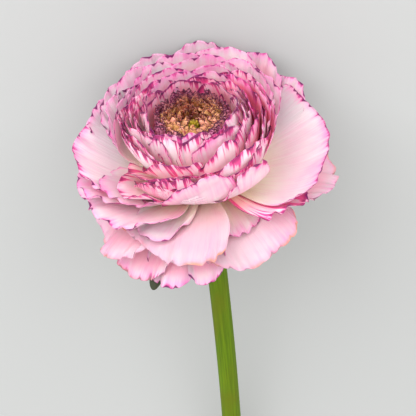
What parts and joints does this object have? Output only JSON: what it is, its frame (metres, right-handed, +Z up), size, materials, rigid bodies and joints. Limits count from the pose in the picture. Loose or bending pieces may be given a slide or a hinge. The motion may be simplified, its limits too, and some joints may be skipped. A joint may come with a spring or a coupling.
{
  "type": "ranunculus flower",
  "caption": "Cut ranunculus flower lying on its side: ruffled pale pink petals with purple edges round a bowl of small petals and a brown eye, on a bent green stem.",
  "frame": {"origin": "on the surface that the flower lies on, under the middle of its bounding box", "axes": "+Z up from that surface; the bloom is at the +Y end and the stem runs towards -Y; the bloom's axis leans 10 degrees up from +Y and 6 degrees towards -X"},
  "size_m": [0.0834, 0.2392, 0.0739],
  "materials": {
    "outer_petal": "matte",
    "cup_petal": "matte",
    "eye_petal": "matte",
    "carpel": "matte",
    "sepal": "matte",
    "stem": "satin"
  },
  "bodies": {
    "root": {"outer_petals": "outer_petal", "cup_petals": "cup_petal", "eye_petals": "eye_petal", "carpels": "carpel", "calyx": "sepal", "stem": "stem"}
  },
  "joints": []
}
